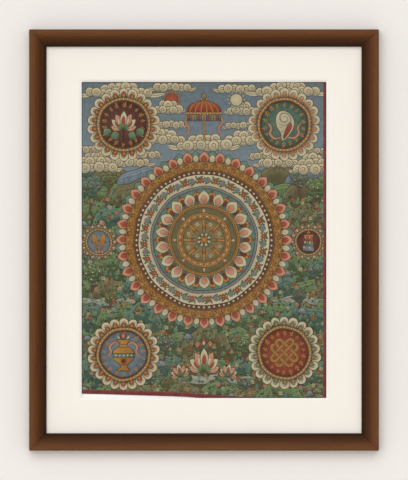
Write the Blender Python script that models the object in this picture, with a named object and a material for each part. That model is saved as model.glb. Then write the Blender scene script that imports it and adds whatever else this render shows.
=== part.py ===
# A painted cloth behind a window mat, in a mitred wooden frame that hangs on a wall.
# Metres, +Z up. The picture faces -Y and its back lies on the wall plane, y = 0.
# The origin is the middle of the top rail's back face, where the frame hangs.

import math

import bmesh
import bpy
from mathutils import Matrix, Vector

# The frame, measured over its outer edges, and its moulding
FRAME_WIDTH = 0.508
FRAME_HEIGHT = 0.612
FACE_WIDTH = 0.025
MOULDING_DEPTH = 0.024
EDGE_ROUND = 0.003
SIGHT_EDGE_HEIGHT = 0.0135
RABBET_WIDTH = 0.007
RABBET_DEPTH = 0.0105
ROUND_STEPS = 5
ROLL_STEPS = 16

# The window mat and the backing board, which share the rabbet
WINDOW_WIDTH = 0.356
WINDOW_HEIGHT = 0.460
MAT_THICKNESS = 0.003
BOARD_THICKNESS = 0.003
RABBET_CLEARANCE = 0.001

# The painted cloth and the narrow red cloth strip sewn along two of its edges
CLOTH_THICKNESS = 0.0012
CLOTH_UNDER_MAT = 0.008
STRIP_WIDTH = 0.0051
STRIP_SHOWING = 0.0039

# The hand-cut lower edge, as x and height from the middle of the picture. It falls to the
# right, slowly at first and then faster, until the mat covers it.
HEM_LINE = (
    (-0.186, -0.2236),
    (-0.150, -0.2242),
    (-0.115, -0.2254),
    (-0.080, -0.2264),
    (-0.045, -0.2274),
    (-0.025, -0.2283),
    (-0.005, -0.2298),
    (0.015, -0.2314),
    (0.035, -0.2327),
    (0.060, -0.2343),
    (0.080, -0.2357),
    (0.120, -0.2372),
    (0.180, -0.2384),
)

# The space kept between pieces that lie against each other
GAP = 0.0003

# How far the window's cutter passes the mat, when points are one, and what edge is sharp
CUTTER_OVERRUN = 0.002
WELD_DISTANCE = 0.00001
SHARP_DEGREES = 40

SIGHT_WIDTH = FRAME_WIDTH - 2 * FACE_WIDTH
SIGHT_HEIGHT = FRAME_HEIGHT - 2 * FACE_WIDTH
BACK_LAND = FACE_WIDTH - RABBET_WIDTH
PANEL_WIDTH = SIGHT_WIDTH + 2 * (RABBET_WIDTH - RABBET_CLEARANCE)
PANEL_HEIGHT = SIGHT_HEIGHT + 2 * (RABBET_WIDTH - RABBET_CLEARANCE)
PICTURE_CENTRE = Vector((0, 0, (BACK_LAND - FRAME_HEIGHT) / 2))

# Depths of the stack in the rabbet, counted from the wall towards the viewer
MAT_FRONT = RABBET_DEPTH - GAP
MAT_BACK = MAT_FRONT - MAT_THICKNESS
CLOTH_FRONT = MAT_BACK - GAP
CLOTH_BACK = CLOTH_FRONT - CLOTH_THICKNESS
BOARD_FRONT = CLOTH_BACK - GAP
BOARD_BACK = BOARD_FRONT - BOARD_THICKNESS

TOWARDS_VIEWER = Vector((0, -1, 0))


def clear_scene():
    for old in list(bpy.data.objects):
        bpy.data.objects.remove(old)


def new_collection(name):
    collection = bpy.data.collections.new(name)
    bpy.context.scene.collection.children.link(collection)
    return collection


def finish_material(name, colour, roughness):
    material = bpy.data.materials.new(name)
    material.use_nodes = True
    shader = material.node_tree.nodes["Principled BSDF"]
    shader.inputs["Base Color"].default_value = (*colour, 1)
    shader.inputs["Roughness"].default_value = roughness
    shader.inputs["Metallic"].default_value = 0
    return material


def flat_outline(name, points, thickness):
    """A closed 2D curve through the points, filled and given half its thickness each way."""
    curve = bpy.data.curves.new(name, "CURVE")
    curve.dimensions = "2D"
    curve.fill_mode = "BOTH"
    curve.extrude = thickness / 2
    spline = curve.splines.new("POLY")
    spline.points.add(len(points) - 1)
    for spot, (x, y) in zip(spline.points, points):
        spot.co = (x, y, 0, 1)
    spline.use_cyclic_u = True
    return bpy.data.objects.new(name, curve)


def as_mesh(outline):
    """The curve object's solid as a mesh object with its caps welded on."""
    bpy.context.scene.collection.objects.link(outline)
    graph = bpy.context.evaluated_depsgraph_get()
    mesh = bpy.data.meshes.new_from_object(outline.evaluated_get(graph))
    name, place = outline.name, outline.matrix_world.copy()
    bpy.data.objects.remove(outline)
    solid = bpy.data.objects.new(name, mesh)
    solid.matrix_world = place
    work = bmesh.new()
    work.from_mesh(mesh)
    bmesh.ops.remove_doubles(work, verts=work.verts, dist=WELD_DISTANCE)
    bmesh.ops.recalc_face_normals(work, faces=work.faces)
    work.to_mesh(mesh)
    work.free()
    return solid


def moulding_profile():
    """The moulding's section: x runs in from the outer edge, y out from the wall."""
    points = [(0, 0)]
    rounding_centre = (EDGE_ROUND, MOULDING_DEPTH - EDGE_ROUND)
    for step in range(ROUND_STEPS):
        turn = math.pi / 2 * step / ROUND_STEPS
        points.append((
            rounding_centre[0] - EDGE_ROUND * math.cos(turn),
            rounding_centre[1] + EDGE_ROUND * math.sin(turn),
        ))
    roll_width = FACE_WIDTH - EDGE_ROUND
    roll_height = MOULDING_DEPTH - SIGHT_EDGE_HEIGHT
    for step in range(ROLL_STEPS + 1):
        turn = math.pi / 2 * step / ROLL_STEPS
        points.append((
            EDGE_ROUND + roll_width * math.sin(turn),
            SIGHT_EDGE_HEIGHT + roll_height * math.cos(turn),
        ))
    points.append((FACE_WIDTH, RABBET_DEPTH))
    points.append((BACK_LAND, RABBET_DEPTH))
    points.append((BACK_LAND, 0))
    return points


def mitred_rail(name, length, inwards, material):
    """A length of moulding along one side of the frame. Each end is cut back by as much
    as the point lies in from the outer edge, which makes the 45 degree mitre."""
    rail = as_mesh(flat_outline(name, moulding_profile(), length))
    joint_gap = GAP / math.sqrt(2)
    for vertex in rail.data.vertices:
        cut_back = vertex.co.x + joint_gap
        vertex.co.z -= math.copysign(cut_back, vertex.co.z)
    rail.data.shade_smooth()
    rail.data.set_sharp_from_angle(angle=math.radians(SHARP_DEGREES))
    along = inwards.cross(TOWARDS_VIEWER)
    turn = Matrix((inwards, TOWARDS_VIEWER, along)).transposed()
    rail.rotation_euler = turn.to_euler()
    rail.location = Vector((
        -inwards.x * FRAME_WIDTH / 2,
        0,
        -inwards.z * FRAME_HEIGHT / 2,
    ))
    rail.data.materials.append(material)
    return rail


def frame_rails(material):
    return [
        mitred_rail("frame_top", FRAME_WIDTH, Vector((0, 0, -1)), material),
        mitred_rail("frame_bottom", FRAME_WIDTH, Vector((0, 0, 1)), material),
        mitred_rail("frame_left", FRAME_HEIGHT, Vector((1, 0, 0)), material),
        mitred_rail("frame_right", FRAME_HEIGHT, Vector((-1, 0, 0)), material),
    ]


def panel(name, width, height, back, front):
    """A rectangular board between two depths, centred on the picture."""
    work = bmesh.new()
    bmesh.ops.create_cube(work, size=1)
    bmesh.ops.scale(work, verts=work.verts, vec=(width, front - back, height))
    mesh = bpy.data.meshes.new(name)
    work.to_mesh(mesh)
    work.free()
    board = bpy.data.objects.new(name, mesh)
    board.location = TOWARDS_VIEWER * (front + back) / 2
    return board


def window_cutter():
    """A block whose front is wider than its back, so that it cuts a 45 degree bevel."""
    back = MAT_BACK - CUTTER_OVERRUN
    front = MAT_FRONT + CUTTER_OVERRUN
    cutter = panel("window_cutter", WINDOW_WIDTH, WINDOW_HEIGHT, back, front)
    for vertex in cutter.data.vertices:
        if vertex.co.y < 0:
            widen = MAT_THICKNESS + CUTTER_OVERRUN
        else:
            widen = -CUTTER_OVERRUN
        vertex.co.x += widen * math.copysign(1, vertex.co.x)
        vertex.co.z += widen * math.copysign(1, vertex.co.z)
    cutter.hide_render = True
    cutter.display_type = "WIRE"
    return cutter


def window_mat(cutter, material):
    mat = panel("window_mat", PANEL_WIDTH, PANEL_HEIGHT, MAT_BACK, MAT_FRONT)
    cut = mat.modifiers.new("window", "BOOLEAN")
    cut.operation = "DIFFERENCE"
    cut.object = cutter
    mat.data.materials.append(material)
    return mat


def backing_board(material):
    board = panel("backing_board", PANEL_WIDTH, PANEL_HEIGHT, BOARD_BACK, BOARD_FRONT)
    board.data.materials.append(material)
    return board


def lower_edge(x):
    """Height of the cloth's lower edge at x, from the middle of the picture."""
    for (before, start), (after, end) in zip(HEM_LINE, HEM_LINE[1:]):
        if x <= after:
            return start + (end - start) * (x - before) / (after - before)


def cloth_piece(name, points, material):
    """A flat piece of cloth cut to the outline, standing up against the backing board."""
    piece = as_mesh(flat_outline(name, points, CLOTH_THICKNESS))
    piece.rotation_euler = (math.pi / 2, 0, 0)
    piece.location = TOWARDS_VIEWER * (CLOTH_FRONT + CLOTH_BACK) / 2
    piece.data.materials.append(material)
    return piece


def cloths(painted, red):
    left = -WINDOW_WIDTH / 2 - CLOTH_UNDER_MAT
    top = WINDOW_HEIGHT / 2 + CLOTH_UNDER_MAT
    seam = WINDOW_WIDTH / 2 - STRIP_SHOWING
    strip_start = seam + GAP
    strip_end = strip_start + STRIP_WIDTH

    hem = [left] + [x for x, _ in HEM_LINE if left < x < seam] + [seam]
    picture = [(left, top)]
    picture += [(x, lower_edge(x) + STRIP_WIDTH + GAP) for x in hem]
    picture.append((seam, top))

    below = [(x, lower_edge(x)) for x in hem]
    below += [(x, lower_edge(x) + STRIP_WIDTH) for x in reversed(hem)]

    beside = [(strip_start, top), (strip_start, lower_edge(strip_start))]
    beside += [(strip_end, lower_edge(strip_end)), (strip_end, top)]

    return [
        cloth_piece("painted_cloth", picture, painted),
        cloth_piece("edge_strip_bottom", below, red),
        cloth_piece("edge_strip_right", beside, red),
    ]


def main():
    clear_scene()
    picture = new_collection("framed_painted_cloth")
    cutters = new_collection("cutters")

    stained_wood = finish_material("stained_wood", (0.130, 0.058, 0.023), 0.45)
    cream_board = finish_material("cream_board", (0.90, 0.86, 0.77), 0.9)
    white_board = finish_material("white_board", (0.92, 0.92, 0.90), 0.9)
    painted_cotton = finish_material("painted_cotton", (0.20, 0.16, 0.10), 0.85)
    red_cotton = finish_material("red_cotton", (0.22, 0.045, 0.05), 0.85)

    middle = bpy.data.objects.new("picture_centre", None)
    middle.location = PICTURE_CENTRE
    picture.objects.link(middle)

    cutter = window_cutter()
    cutter.parent = middle
    cutters.objects.link(cutter)

    pieces = frame_rails(stained_wood)
    pieces += cloths(painted_cotton, red_cotton)
    pieces.append(window_mat(cutter, cream_board))
    pieces.append(backing_board(white_board))
    for piece in pieces:
        piece.parent = middle
        picture.objects.link(piece)


main()
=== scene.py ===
"""The looks of a framed thangka: a painted cotton cloth with a narrow red edge strip, held behind
a window mat in a stained wooden frame that hangs on a wall. Metres, +Z up, the picture faces -Y.
The painting is a general design of lotus wheels and auspicious signs over hills and clouds."""

import math
import random

import bmesh
import bpy
import numpy as np
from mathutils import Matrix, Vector


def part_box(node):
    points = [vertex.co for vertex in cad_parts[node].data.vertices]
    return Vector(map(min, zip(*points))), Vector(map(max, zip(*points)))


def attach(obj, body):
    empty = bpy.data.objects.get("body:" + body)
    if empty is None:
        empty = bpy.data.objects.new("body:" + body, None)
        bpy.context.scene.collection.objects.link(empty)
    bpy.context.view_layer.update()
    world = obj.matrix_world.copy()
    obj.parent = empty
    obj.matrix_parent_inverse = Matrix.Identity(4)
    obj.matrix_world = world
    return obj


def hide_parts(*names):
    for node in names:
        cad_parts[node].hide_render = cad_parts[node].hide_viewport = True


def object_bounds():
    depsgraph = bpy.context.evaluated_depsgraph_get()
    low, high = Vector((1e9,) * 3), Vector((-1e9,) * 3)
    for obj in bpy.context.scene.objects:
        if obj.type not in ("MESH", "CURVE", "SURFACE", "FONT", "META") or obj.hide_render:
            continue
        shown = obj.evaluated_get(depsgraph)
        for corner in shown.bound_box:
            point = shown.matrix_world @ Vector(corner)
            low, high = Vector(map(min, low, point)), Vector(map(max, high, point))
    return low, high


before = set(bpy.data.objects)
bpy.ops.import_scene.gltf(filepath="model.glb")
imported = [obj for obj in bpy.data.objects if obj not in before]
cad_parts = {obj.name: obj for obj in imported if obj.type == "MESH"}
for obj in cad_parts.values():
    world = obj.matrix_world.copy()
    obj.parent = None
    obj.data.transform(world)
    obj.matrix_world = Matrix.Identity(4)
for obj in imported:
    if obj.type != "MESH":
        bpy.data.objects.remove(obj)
cad_low, cad_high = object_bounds()
MM = 0.001


# Frame: four mitred lengths of a ramin moulding, stained brown and sprayed with satin lacquer.
# The wood darkens inwards in a painted shade where the roll falls towards the sight edge, and
# the grain runs along each length.

picture_z = (cad_high.z + cad_low.z) / 2
outer_half_width = (cad_high.x - cad_low.x) / 2
outer_half_height = (cad_high.z - cad_low.z) / 2
left_rail_low, left_rail_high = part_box("frame_left")
moulding_face = left_rail_high.x - left_rail_low.x
# The stain's colour across the face, from outer edge to sight edge, darkened inwards by painted shade.
STAIN_AND_PAINTED_SHADE_ACROSS = (
    (0.00, "#58371f"),
    (0.10, "#684224"),
    (0.30, "#5f391c"),
    (0.60, "#472811"),
    (0.85, "#39210e"),
    (0.97, "#26140a"),
)
GRAIN = {"length": 60 * MM, "width": 1.6 * MM, "strength": 0.16}
PORES = {"length": 9 * MM, "width": 0.7 * MM, "strength": 0.14}
LACQUER_TOOTH = 0.1 * MM


def colour(code):
    """An sRGB hex colour as the linear colour that a shader takes."""
    channels = [int(code[i:i + 2], 16) / 255 for i in (1, 3, 5)]
    linear = [c / 12.92 if c <= 0.04045 else ((c + 0.055) / 1.055) ** 2.4 for c in channels]
    return (*linear, 1)


def node(tree, kind, inputs=None, **settings):
    """Adds a node with its settings. A socket given as an input is linked, and so is a node, by
    its first output. Any other input is set."""
    made = tree.nodes.new(kind)
    for name, value in settings.items():
        setattr(made, name, value)
    for name, value in (inputs or {}).items():
        if isinstance(value, bpy.types.Node):
            value = value.outputs[0]
        if isinstance(value, bpy.types.NodeSocket):
            tree.links.new(value, made.inputs[name])
        else:
            made.inputs[name].default_value = value
    return made


def new_material(name, roughness, specular):
    """A material of that name, its node tree, and the place on the object for its patterns."""
    material = bpy.data.materials.new(name)
    material.use_nodes = True
    tree = material.node_tree
    surface = tree.nodes["Principled BSDF"]
    surface.inputs["Roughness"].default_value = roughness
    surface.inputs["Specular IOR Level"].default_value = specular
    return material, tree, node(tree, "ShaderNodeTexCoord").outputs["Object"]


def inside_edge(tree, place, half_width, half_height):
    """How far a place lies inside the edges of a rectangle about the picture's middle."""
    centred = node(tree, "ShaderNodeVectorMath", {0: place, 1: (0, 0, picture_z)}, operation="SUBTRACT")
    away = node(tree, "ShaderNodeVectorMath", {0: centred}, operation="ABSOLUTE")
    corner = (half_width, 0, half_height)
    inside = node(tree, "ShaderNodeVectorMath", {0: corner, 1: away}, operation="SUBTRACT")
    sides = node(tree, "ShaderNodeSeparateXYZ", {"Vector": inside})
    return node(tree, "ShaderNodeMath", {0: sides.outputs["X"], 1: sides.outputs["Z"]}, operation="MINIMUM")


def varied(tree, place, size, low, high, detail=3.0, roughness=0.55):
    """A noise of that grain size, as a value from low to high, and its own height."""
    texture = node(
        tree,
        "ShaderNodeTexNoise",
        {"Vector": place, "Scale": 1 / size, "Detail": detail, "Roughness": roughness},
    )
    spread = node(
        tree,
        "ShaderNodeMapRange",
        {"Value": texture, "From Min": 0.3, "From Max": 0.7, "To Min": low, "To Max": high},
    )
    return spread.outputs[0], texture.outputs[0]


def clouded(tree, tone, *factors):
    """The tone multiplied by each of the values."""
    for factor in factors:
        inputs = {0: 1.0, 6: tone, 7: factor}
        tone = node(tree, "ShaderNodeMix", inputs, data_type="RGBA", blend_type="MULTIPLY").outputs[2]
    return tone


def finish(tree, tone, height, strength, depth):
    """Gives the material's surface its tone, and a relief of that strength and depth."""
    relief = node(tree, "ShaderNodeBump", {"Height": height, "Strength": strength, "Distance": depth})
    surface = tree.nodes["Principled BSDF"]
    tree.links.new(tone, surface.inputs["Base Color"])
    tree.links.new(relief.outputs["Normal"], surface.inputs["Normal"])


def paint_with(object_, material):
    """Puts the material on the whole object."""
    object_.data.materials.clear()
    object_.data.materials.append(material)


def stained_moulding_with_painted_shade(name, grain_along_x):
    """Ramin under brown stain and satin lacquer: faint long streaks, a painted shade that darkens
    the wood towards the sight edge, and a soft sheen on the crest of the roll."""
    material, tree, place = new_material(name, roughness=0.48, specular=0.08)
    inside = inside_edge(tree, place, outer_half_width, outer_half_height)
    across = node(tree, "ShaderNodeMath", {0: inside, 1: moulding_face}, operation="DIVIDE")
    # The ramp paints shade into the stain, darker towards the sight edge where the roll falls away.
    ramp = node(tree, "ShaderNodeValToRGB", {"Fac": across})
    stops = ramp.color_ramp.elements
    while len(stops) < len(STAIN_AND_PAINTED_SHADE_ACROSS):
        stops.new(1)
    for stop, (share, code) in zip(stops, STAIN_AND_PAINTED_SHADE_ACROSS):
        stop.position = share
        stop.color = colour(code)
    tone = ramp.outputs["Color"]
    for streak in (GRAIN, PORES):
        scale = [1 / streak["width"]] * 3
        scale[0 if grain_along_x else 2] = 1 / streak["length"]
        stretched = node(tree, "ShaderNodeMapping", {"Vector": place, "Scale": scale})
        low, high = 1 - streak["strength"], 1 + streak["strength"]
        darker, height = varied(tree, stretched, 1.0, low, high, detail=4.0, roughness=0.6)
        tone = clouded(tree, tone, darker)
    finish(tree, tone, height, 0.12, LACQUER_TOOTH)
    return material


lengthwise = stained_moulding_with_painted_shade("stained ramin, grain level", True)
upright = stained_moulding_with_painted_shade("stained ramin, grain upright", False)
for name, wood in (
    ("frame_top", lengthwise),
    ("frame_bottom", lengthwise),
    ("frame_left", upright),
    ("frame_right", upright),
):
    paint_with(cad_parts[name], wood)


# Window mat: cotton mat board with a cream face paper and a white core, which the 45 degree
# bevel round the window lays bare. The face paper has a fine matt tooth.

window_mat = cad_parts["window_mat"]
window_half_width = min(abs(v.co.x) for v in window_mat.data.vertices)
window_half_height = min(abs(v.co.z - picture_z) for v in window_mat.data.vertices)
mat_low, mat_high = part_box("window_mat")
mat_thickness = mat_high.y - mat_low.y
FACE_PAPER = 0.15 * MM
PAPER_TOOTH = 0.5 * MM
PAPER_CLOUD = 25 * MM
PAPER_RELIEF = 0.05 * MM


def mat_board():
    """Mat board: a plain matt paper face, and a brighter core that shows at the bevel."""
    material, tree, place = new_material("cream mat board, cut", roughness=0.92, specular=0.12)
    inside = inside_edge(tree, place, window_half_width, window_half_height)
    face_starts = FACE_PAPER - mat_thickness
    on_face = node(tree, "ShaderNodeMath", {0: inside, 1: face_starts}, operation="LESS_THAN")
    cloud, _ = varied(tree, place, PAPER_CLOUD, 0.992, 1.004)
    fibre, tooth = varied(tree, place, PAPER_TOOTH, 0.985, 1.01)
    core = clouded(tree, colour("#fffdf8"), fibre)
    face = clouded(tree, colour("#f2eee6"), cloud, fibre)
    board = node(tree, "ShaderNodeMix", {0: on_face, 6: core, 7: face}, data_type="RGBA")
    finish(tree, board.outputs[2], tooth, 0.15, PAPER_RELIEF)
    return material


paint_with(window_mat, mat_board())


# Backing board: white mount board behind the cloth. It shows in the wedge below the cloth's
# slanting lower edge, and from the back.

BOARD_FIBRE = 3 * MM


def mount_board():
    """Mount board: bright white, matt, with faint clouds of fibre."""
    material, tree, place = new_material("white mount board", roughness=0.9, specular=0.12)
    cloud, _ = varied(tree, place, PAPER_CLOUD, 0.985, 1.0)
    fibre, tooth = varied(tree, place, BOARD_FIBRE, 0.98, 1.0, detail=6.0)
    finish(tree, clouded(tree, colour("#fffffc"), cloud, fibre), tooth, 0.2, PAPER_RELIEF)
    return material


paint_with(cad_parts["backing_board"], mount_board())


# Cloth: plain-woven cotton, sized and primed with chalk ground, rubbed smooth, and pressed flat
# between the mat and the board. Its lower edge was cut by hand, so it slants and wavers.

cloth_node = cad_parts["painted_cloth"]
cloth_low, cloth_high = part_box("painted_cloth")
hem_points = sorted(
    {(round(v.co.x, 5), round(v.co.z, 5)) for v in cloth_node.data.vertices if v.co.z < picture_z}
)
GROUND_STAIN = 30 * MM
GROUND_SPECK = 1.4 * MM
SHEET_CELL = 6 * MM
# The width of the painted shadow of the mat's lip beside the window.
MAT_LIP_SHADOW_WIDTH = 2 * MM

# Threads of 0.3 mm would be too fine to show, so the weave is drawn twice as coarse. The wave
# node turns WAVE_RATE radians in a unit of its scale.
THREAD_PITCH = 0.6 * MM
THREAD_RELIEF = 0.1 * MM
WAVE_RATE = 20


def hem_height(x):
    """Height of the cloth's lower edge at x."""
    return float(np.interp(x, [p[0] for p in hem_points], [p[1] for p in hem_points]))


def weave_height(tree, place):
    """The height of a plain weave that lies in the XZ plane."""
    threads = {"Vector": place, "Scale": math.tau / (THREAD_PITCH * WAVE_RATE), "Distortion": 0.6,
               "Detail": 1.0, "Detail Scale": 0.3}
    warp, weft = (
        node(tree, "ShaderNodeTexWave", threads, wave_type="BANDS", bands_direction=way).outputs["Fac"]
        for way in ("X", "Z")
    )
    return node(tree, "ShaderNodeMath", {0: warp, 1: weft}, operation="ADD").outputs[0]


def painted_mat_shadow_edge(tree, place, tone):
    """The tone darkened in a narrow line beside the mat: a painted shadow that the mat's lip casts
    on the cloth."""
    inside = inside_edge(tree, place, window_half_width, window_half_height)
    fade = {"Value": inside, "From Min": MAT_LIP_SHADOW_WIDTH / 5, "From Max": MAT_LIP_SHADOW_WIDTH, "To Min": 0.7, "To Max": 0.0}
    mat_shadow_share = node(tree, "ShaderNodeMapRange", fade)
    return node(tree, "ShaderNodeMix", {0: mat_shadow_share, 6: tone, 7: colour("#2b2018")}, data_type="RGBA").outputs[2]


def primed_cotton():
    """Primed cotton: warm off-white ground gone tan with age, the weave just showing."""
    material, tree, place = new_material("primed plain-woven cotton", roughness=0.9, specular=0.15)
    stain, _ = varied(tree, place, GROUND_STAIN, 0.88, 1.05)
    speck, _ = varied(tree, place, GROUND_SPECK, 0.93, 1.05)
    ground = clouded(tree, colour("#b3a68a"), stain, speck)
    # Beside the window the ground is darkened by the painted shadow of the mat's lip.
    finish(tree, painted_mat_shadow_edge(tree, place, ground), weave_height(tree, place), 0.4, THREAD_RELIEF)
    return material


def linked_object(name, mesh):
    """A new object in the scene that holds the mesh, at the origin."""
    made = bpy.data.objects.new(name, mesh)
    bpy.context.scene.collection.objects.link(made)
    return made


def shaped(name, points, faces=(), edges=()):
    """A new object in the scene with a mesh of those points."""
    mesh = bpy.data.meshes.new(name)
    mesh.from_pydata(points, edges, faces)
    return linked_object(name, mesh)


def applied(object_):
    """The object with its modifiers applied to its mesh."""
    graph = bpy.context.evaluated_depsgraph_get()
    mesh = bpy.data.meshes.new_from_object(object_.evaluated_get(graph))
    object_.modifiers.clear()
    object_.data = mesh
    return object_


def woven_sheet():
    """A grid of small cells between the hem and the top edge, given the cloth's thickness."""
    columns = round((cloth_high.x - cloth_low.x) / SHEET_CELL)
    rows = round((cloth_high.z - cloth_low.z) / SHEET_CELL)
    points = []
    for row in range(rows + 1):
        for x in np.linspace(cloth_low.x, cloth_high.x, columns + 1):
            foot = hem_height(x)
            points.append((x, cloth_low.y, foot + (cloth_high.z - foot) * row / rows))
    corners = [row * (columns + 1) + column for row in range(rows) for column in range(columns)]
    faces = [(corner, corner + 1, corner + columns + 2, corner + columns + 1) for corner in corners]
    sheet = shaped("primed_cloth", points, faces)
    thickness = sheet.modifiers.new("thickness", "SOLIDIFY")
    thickness.thickness = cloth_high.y - cloth_low.y
    thickness.offset = -1
    return applied(sheet)


primed_cloth = woven_sheet()
paint_with(primed_cloth, primed_cotton())
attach(primed_cloth, "root")
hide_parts("painted_cloth")


# Paint: ground minerals and dyes in hide glue, laid thin and matt in flat coats that are shaded
# from dark to light, with ink lines drawn over them. Each pigment is one piece. A coat lies
# a hundredth of a millimetre in front of the one that it covers.

COAT = 0.01 * MM
PIGMENTS = {
    "azurite": ("#4b5b64", "#798991"),
    "water_blue": ("#6b7775", "#a3a595"),
    "malachite": ("#384a31", "#708a5e"),
    "verdigris": ("#2f4a41", "#648172"),
    "olive_earth": ("#494631", "#777252"),
    "ochre": ("#76502a", "#ae8043"),
    "chalk": ("#958a70", "#bfb494"),
    "salmon": ("#8e523f", "#c18c72"),
    "cinnabar": ("#682a21", "#a34f39"),
    "lac": ("#3f2322", "#6b4038"),
    "ink": ("#2b2018", "#443629"),
}
BARE_GROUND = "#a89a7c"
LAMP_SMOKE = "#75684f"
MOTTLE = 7 * MM
BRUSH = 1.6 * MM
FLAKE = 1.1 * MM
SMOKE_CLOUD = 45 * MM


def mineral_paint(name, dark, light):
    """Matt mineral paint on cloth: its coat runs from dark to light by the painter's shading,
    clouded by the brush, with flecks rubbed through to the ground, lamp smoke over all and the
    weave under it."""
    material, tree, place = new_material(f"{name} in hide glue", roughness=0.88, specular=0.12)
    level = node(tree, "ShaderNodeAttribute", attribute_name="shade").outputs["Fac"]
    tone = node(tree, "ShaderNodeAttribute", attribute_name="tone").outputs["Fac"]
    mottle, _ = varied(tree, place, MOTTLE, -0.16, 0.16)
    brush, grain = varied(tree, place, BRUSH, -0.14, 0.14, detail=5.0)
    for part in (tone, mottle, brush):
        level = node(tree, "ShaderNodeMath", {0: level, 1: part}, operation="ADD")
    flakes = {"Vector": place, "Scale": 1 / FLAKE, "Detail": 6.0, "Roughness": 0.7}
    rubbed = node(tree, "ShaderNodeTexNoise", flakes)
    spots = {"Value": rubbed, "From Min": 0.64, "From Max": 0.72, "To Max": 0.55}
    bare = node(tree, "ShaderNodeMapRange", spots)
    smoke, _ = varied(tree, place, SMOKE_CLOUD, 0.05, 0.17)
    coat = colour(dark)
    for share, over in ((level, light), (bare, BARE_GROUND), (smoke, LAMP_SMOKE)):
        inputs = {0: share, 6: coat, 7: colour(over)}
        coat = node(tree, "ShaderNodeMix", inputs, data_type="RGBA").outputs[2]
    height = node(tree, "ShaderNodeMath", {0: weave_height(tree, place), 1: grain}, operation="ADD")
    # Beside the window the paint is darkened by the painted shadow of the mat's lip.
    finish(tree, painted_mat_shadow_edge(tree, place, coat), height, 0.3, THREAD_RELIEF)
    return material


paint_materials = {name: mineral_paint(name, *pair) for name, pair in PIGMENTS.items()}


def coat_of(motif, pigment):
    """The motif's points, faces, shades and tones in that pigment."""
    return motif.setdefault(pigment, {"points": [], "faces": [], "shade": [], "tone": []})


def add_shape(motif, pigment, points, shades, faces, coat):
    """Puts flat faces in the motif. Points are (x, z) in millimetres from its middle."""
    paint = coat_of(motif, pigment)
    start = len(paint["points"])
    paint["points"] += [(x * MM, -coat * COAT, z * MM) for x, z in points]
    paint["shade"] += list(shades)
    paint["tone"] += [0] * len(points)
    paint["faces"] += [tuple(start + corner for corner in face) for face in faces]


def fill(motif, pigment, outline, coat, light=(0.2, 0.9), towards=(0, 1)):
    """A flat shape whose paint is graded along a direction, from light[0] to light[1]."""
    along = [x * towards[0] + z * towards[1] for x, z in outline]
    low, span = min(along), max(along) - min(along)
    shades = [light[0] + (light[1] - light[0]) * (reach - low) / span for reach in along]
    add_shape(motif, pigment, outline, shades, [range(len(outline))], coat)


def stroke(motif, pigment, points, coat, width, closed=False, shade=0.4, ends=0.25):
    """A brush line through the points. An open one thins out to its ends."""
    count = len(points)
    sides, faces = [], []
    for i, (x, z) in enumerate(points):
        before = points[i - 1] if closed or i else points[0]
        after = points[(i + 1) % count] if closed or i < count - 1 else points[-1]
        dx, dz = after[0] - before[0], after[1] - before[1]
        length = math.hypot(dx, dz) or 1
        swell = 1 if closed else ends + (1 - ends) * math.sin(math.pi * (i / (count - 1))) ** 0.6
        reach = width * swell / 2 / length
        sides += [(x - dz * reach, z + dx * reach), (x + dz * reach, z - dx * reach)]
    for i in range(count if closed else count - 1):
        after = (i + 1) % count
        faces.append((2 * i + 1, 2 * after + 1, 2 * after, 2 * i))
    add_shape(motif, pigment, sides, [shade] * len(sides), faces, coat)


def inked(motif, pigment, outline, coat, line, rise=0.3, light=(0.2, 0.9), towards=(0, 1)):
    """A filled shape, with an ink line round it that lies that many coats above."""
    fill(motif, pigment, outline, coat, light, towards)
    stroke(motif, "ink", outline, coat + rise, line, closed=True)


def band(motif, pigment, inner, outer, coat, light=(0.2, 0.9), middle=(0, 0), steps=96):
    """A ring, or a disc where inner is 0, graded from its inner to its outer edge."""
    points, faces = [], []
    for step in range(steps):
        turn = math.tau * step / steps
        for radius in (inner, outer):
            points.append((middle[0] + radius * math.cos(turn), middle[1] + radius * math.sin(turn)))
        after = (step + 1) % steps
        faces.append((2 * step, 2 * step + 1, 2 * after + 1, 2 * after))
    add_shape(motif, pigment, points, light * steps, faces, coat)


def inked_disc(motif, pigment, radius, coat, edge, light, middle=(0, 0), steps=9):
    """A round spot over a wider one of ink, which shows as a line round it."""
    band(motif, "ink", 0, radius + edge, coat, middle=middle, steps=steps)
    band(motif, pigment, 0, radius, coat + 0.3, light, middle, steps)


def stamp(target, motif, at, coat=0, turn=0.0, size=1.0):
    """Copies a motif into another, turned clockwise about its own middle."""
    cosine, sine = math.cos(turn) * size, math.sin(turn) * size
    for pigment, part in motif.items():
        paint = coat_of(target, pigment)
        start = len(paint["points"])
        paint["points"] += [
            (at[0] * MM + x * cosine + z * sine, y - coat * COAT, at[1] * MM - x * sine + z * cosine)
            for x, y, z in part["points"]
        ]
        paint["shade"] += part["shade"]
        paint["tone"] += part["tone"]
        paint["faces"] += [tuple(start + corner for corner in face) for face in part["faces"]]


def spiral(outer, inner, turns, start=0.0, middle=(0, 0), steps=9):
    """Points along a spiral that winds in, its starting angle in degrees from +X."""
    points = []
    for step in range(steps + 1):
        along = step / steps
        radius = outer + (inner - outer) * along
        angle = math.radians(start) + math.tau * turns * along
        points.append((middle[0] + radius * math.cos(angle), middle[1] + radius * math.sin(angle)))
    return points


def arc(radius, start, end, middle=(0, 0), steps=8):
    """Points along an arc, its angles in degrees from +X."""
    return spiral(radius, radius, (end - start) / 360, start, middle, steps)


def circle(radius, steps=18):
    """Points round a circle."""
    return arc(radius, 0, 360, steps=steps)[:-1]


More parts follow.
